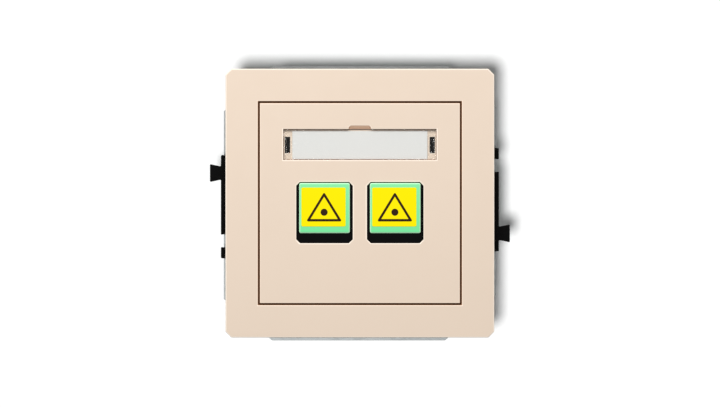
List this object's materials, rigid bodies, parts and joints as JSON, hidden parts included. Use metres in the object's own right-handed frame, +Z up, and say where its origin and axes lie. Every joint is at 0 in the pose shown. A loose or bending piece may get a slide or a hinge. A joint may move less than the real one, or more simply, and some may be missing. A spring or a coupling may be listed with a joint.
{
  "type": "fibre optic wall outlet",
  "caption": "Flush wall outlet insert: square beige cover with a label window and two green-flapped fibre ports, steel support frame, claws and dovetail joiner rails.",
  "frame": {"origin": "centre of the support frame's rear face, which lies against the wall", "axes": "+X right as seen from the room, +Y into the wall, +Z up"},
  "size_m": [0.0766, 0.0315, 0.0702],
  "materials": {
    "beige_cover": "fine satin moulded",
    "black_plastic": "satin moulded",
    "green_flap": "semi-gloss moulded",
    "green_adapter": "semi-gloss moulded",
    "green_cap": "soft semi-gloss",
    "ivory_plastic": "satin moulded",
    "clear_plastic": "clear polished",
    "white_card": "matte",
    "yellow_sticker": "vinyl film",
    "galvanised_steel": "galvanised spangle",
    "zinc_steel": "zinc plated",
    "ceramic_sleeve": "polished"
  },
  "bodies": {
    "outlet_body": {"support_frame": "galvanised_steel", "port_carrier": "black_plastic", "outer_cover_ring": "beige_cover", "center_plate": "beige_cover", "label_card": "white_card", "carrier_screw_top_left": "zinc_steel", "carrier_screw_top_right": "zinc_steel", "carrier_screw_bottom_right": "zinc_steel", "carrier_screw_bottom_left": "zinc_steel", "left_joiner_rail": "black_plastic", "left_claw_pin": "zinc_steel", "right_joiner_rail": "black_plastic", "right_claw_pin": "zinc_steel", "left_keystone_body": "black_plastic", "left_flap_pin": "zinc_steel", "left_front_adapter_shell": "green_adapter", "left_rear_adapter_shell": "green_adapter", "left_front_latch_clip": "ivory_plastic", "left_rear_latch_clip": "ivory_plastic", "left_alignment_sleeve": "ceramic_sleeve", "right_keystone_body": "black_plastic", "right_flap_pin": "zinc_steel", "right_front_adapter_shell": "green_adapter", "right_rear_adapter_shell": "green_adapter", "right_front_latch_clip": "ivory_plastic", "right_rear_latch_clip": "ivory_plastic", "right_alignment_sleeve": "ceramic_sleeve"},
    "left_flap_body": {"left_port_flap": "green_flap", "left_flap_label": "yellow_sticker", "left_flap_spring": "zinc_steel"},
    "right_flap_body": {"right_port_flap": "green_flap", "right_flap_label": "yellow_sticker", "right_flap_spring": "zinc_steel"},
    "label_window_body": {"label_window": "clear_plastic"},
    "left_cap_body": {"left_rear_dust_cap": "green_cap"},
    "right_cap_body": {"right_rear_dust_cap": "green_cap"},
    "left_claw_body": {"left_claw": "zinc_steel"},
    "right_claw_body": {"right_claw": "zinc_steel"},
    "left_screw_body": {"left_claw_screw": "zinc_steel"},
    "right_screw_body": {"right_claw_screw": "zinc_steel"}
  },
  "joints": [
    {"name": "left_flap_hinge", "type": "hinge", "parent": "outlet_body", "child": "left_flap_body", "pos_m": [-0.009, -0.00825, 0.0038], "axis": [-1, 0, 0], "range_deg": [0, 90], "stiffness_Nm_per_rad": 0.0003, "springref_deg": -20.05},
    {"name": "right_flap_hinge", "type": "hinge", "parent": "outlet_body", "child": "right_flap_body", "pos_m": [0.009, -0.00825, 0.0038], "axis": [-1, 0, 0], "range_deg": [0, 90], "stiffness_Nm_per_rad": 0.0003, "springref_deg": -20.05},
    {"name": "label_window_pull", "type": "slide", "parent": "outlet_body", "child": "label_window_body", "axis": [0, -1, 0], "range_m": [0, 0.008]},
    {"name": "left_cap_pull", "type": "slide", "parent": "outlet_body", "child": "left_cap_body", "axis": [0, 1, 0], "range_m": [0, 0.01]},
    {"name": "right_cap_pull", "type": "slide", "parent": "outlet_body", "child": "right_cap_body", "axis": [0, 1, 0], "range_m": [0, 0.01]},
    {"name": "left_screw_turn", "type": "hinge", "parent": "outlet_body", "child": "left_screw_body", "pos_m": [-0.0265, 0, 0.012], "axis": [0, 1, 0], "range_deg": [0, 640]},
    {"name": "left_claw_swing", "type": "hinge", "parent": "outlet_body", "child": "left_claw_body", "pos_m": [-0.0224, 0.0022, 0.012], "axis": [0, 0, 1], "range_deg": [0, 15]},
    {"name": "right_screw_turn", "type": "hinge", "parent": "outlet_body", "child": "right_screw_body", "pos_m": [0.0265, 0, -0.012], "axis": [0, 1, 0], "range_deg": [0, 640]},
    {"name": "right_claw_swing", "type": "hinge", "parent": "outlet_body", "child": "right_claw_body", "pos_m": [0.0224, 0.0022, -0.012], "axis": [0, 0, -1], "range_deg": [0, 15]}
  ],
  "couplings": [
    {"joint": "left_claw_swing", "follows": "left_screw_turn", "ratio": 0.023438},
    {"joint": "right_claw_swing", "follows": "right_screw_turn", "ratio": 0.023438}
  ]
}
